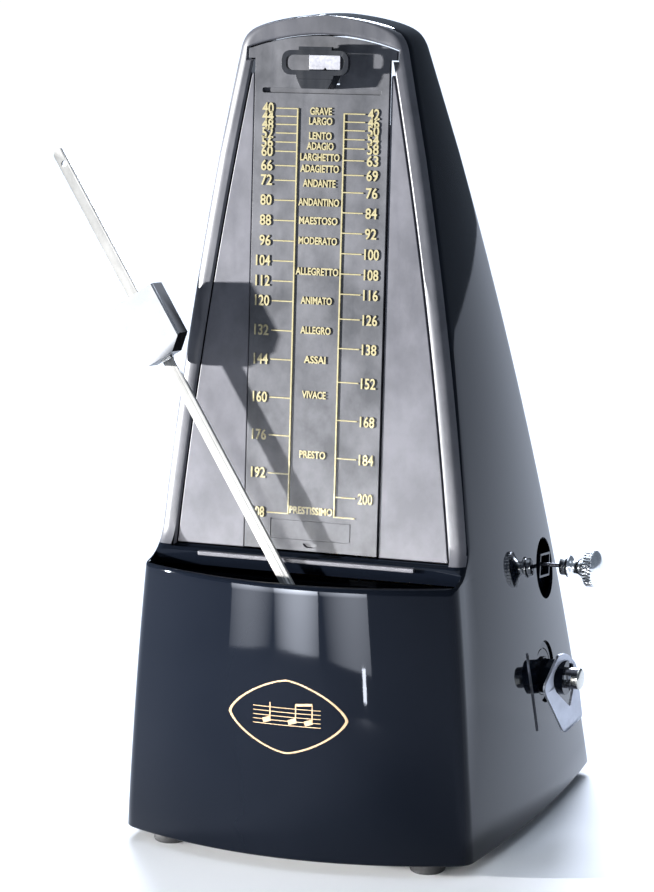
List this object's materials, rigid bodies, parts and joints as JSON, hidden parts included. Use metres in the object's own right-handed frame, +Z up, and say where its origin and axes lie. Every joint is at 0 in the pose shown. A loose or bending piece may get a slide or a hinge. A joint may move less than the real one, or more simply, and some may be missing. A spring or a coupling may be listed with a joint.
{
  "type": "clockwork pyramid metronome",
  "caption": "Black plastic pyramid metronome with a front scale plate, a swinging strip pendulum with a sliding weight, a side winding key and a pull knob for the bell.",
  "frame": {"origin": "on the ground under the middle of the bounding box", "axes": "+Z up; -Y is the front with the pendulum and scale; +X is the side with the winding key and the bell knob"},
  "size_m": [0.1338, 0.1144, 0.215],
  "materials": {
    "case_gloss_black": "gloss",
    "panel_satin_black": "satin",
    "polished_chrome": "polished",
    "movement_brass": "brushed",
    "spring_steel": "satin",
    "blackened_steel": "blackened",
    "cast_lead": "cast",
    "foot_rubber": "matte",
    "weight_silver": "satin"
  },
  "bodies": {
    "case": {"case_shell": "case_gloss_black", "face_panel_left": "panel_satin_black", "face_panel_right": "panel_satin_black", "scale_plate": "panel_satin_black", "pendulum_catch": "panel_satin_black", "catch_leaf": "spring_steel", "trough_tray": "case_gloss_black", "base_plate": "case_gloss_black", "foot_front_left": "foot_rubber", "foot_front_right": "foot_rubber", "foot_rear_left": "foot_rubber", "foot_rear_right": "foot_rubber", "foot_screw_front_left": "spring_steel", "foot_screw_front_right": "spring_steel", "foot_screw_rear_left": "spring_steel", "foot_screw_rear_right": "spring_steel", "movement_plate_left": "movement_brass", "movement_plate_right": "movement_brass", "pillar_front_low": "spring_steel", "pillar_rear_low": "spring_steel", "pillar_rear_top": "spring_steel", "pillar_middle": "spring_steel", "front_bearing_bar": "movement_brass", "rear_bearing_bar": "movement_brass", "mainspring": "spring_steel", "bell_bridge": "movement_brass", "bell": "polished_chrome", "bell_stud": "spring_steel", "bell_nut": "spring_steel"},
    "winding": {"winding_arbor": "blackened_steel", "ratchet_wheel": "spring_steel", "wing_rivet": "spring_steel"},
    "wing": {"key_wing": "spring_steel"},
    "great": {"great_wheel": "movement_brass", "click_screw": "spring_steel"},
    "click": {"click": "spring_steel"},
    "second": {"second_arbor": "spring_steel", "second_pinion": "spring_steel", "second_wheel": "movement_brass"},
    "escape": {"escape_arbor": "spring_steel", "escape_pinion": "spring_steel", "cam_drive_pinion": "spring_steel", "escape_wheel": "movement_brass"},
    "cams": {"cam_arbor": "spring_steel", "cam_wheel": "movement_brass", "bell_cams": "movement_brass"},
    "pendulum": {"pendulum_rod": "spring_steel", "pendulum_arbor": "spring_steel", "rod_hub": "movement_brass", "counterweight": "cast_lead", "pallets": "spring_steel"},
    "weight": {"sliding_weight": "weight_silver", "weight_clip": "spring_steel"},
    "selector": {"selector_rod": "blackened_steel", "selector_knob": "polished_chrome", "selector_collar": "blackened_steel"},
    "hammer": {"hammer_arbor": "spring_steel", "bell_hammer": "spring_steel"}
  },
  "joints": [
    {"name": "pendulum_swing", "type": "hinge", "parent": "case", "child": "pendulum", "pos_m": [0.00564, -0.04057, 0.0652], "axis": [0, 0.9964, -0.0847], "range_deg": [-6, 70]},
    {"name": "weight_slide", "type": "slide", "parent": "pendulum", "child": "weight", "axis": [-0.5299, 0.0718, 0.845], "range_m": [-0.0685, 0.0355]},
    {"name": "key_turn", "type": "hinge", "parent": "case", "child": "winding", "pos_m": [0.00564, 0.01419, 0.038], "axis": [1, 0, 0], "continuous": true},
    {"name": "wing_fold", "type": "hinge", "parent": "winding", "child": "wing", "pos_m": [0.05904, 0.01419, 0.038], "axis": [0, 0, 1], "range_deg": [-10, 50]},
    {"name": "great_turn", "type": "hinge", "parent": "case", "child": "great", "pos_m": [0.00564, 0.01419, 0.038], "axis": [1, 0, 0], "continuous": true},
    {"name": "click_pivot", "type": "hinge", "parent": "great", "child": "click", "pos_m": [0.00564, 0.02019, 0.04839], "axis": [1, 0, 0], "range_deg": [-8, 0], "stiffness_Nm_per_rad": 0.003},
    {"name": "second_turn", "type": "hinge", "parent": "case", "child": "second", "pos_m": [0.00564, -0.00668, 0.03852], "axis": [1, 0, 0], "continuous": true},
    {"name": "escape_turn", "type": "hinge", "parent": "case", "child": "escape", "pos_m": [0.00564, -0.01751, 0.0474], "axis": [1, 0, 0], "continuous": true},
    {"name": "cams_turn", "type": "hinge", "parent": "case", "child": "cams", "pos_m": [0.00564, -0.02431, 0.04007], "axis": [1, 0, 0], "continuous": true},
    {"name": "selector_pull", "type": "slide", "parent": "case", "child": "selector", "axis": [1, 0, 0], "range_m": [-0.0028, 0.004]},
    {"name": "hammer_pivot", "type": "hinge", "parent": "case", "child": "hammer", "pos_m": [0.00564, -0.02501, 0.0555], "axis": [1, 0, 0], "range_deg": [-3.5, 12], "stiffness_Nm_per_rad": 0.003}
  ],
  "couplings": [
    {"joint": "great_turn", "follows": "escape_turn", "ratio": 0.033333},
    {"joint": "second_turn", "follows": "escape_turn", "ratio": -0.16667},
    {"joint": "cams_turn", "follows": "escape_turn", "ratio": -0.25}
  ]
}
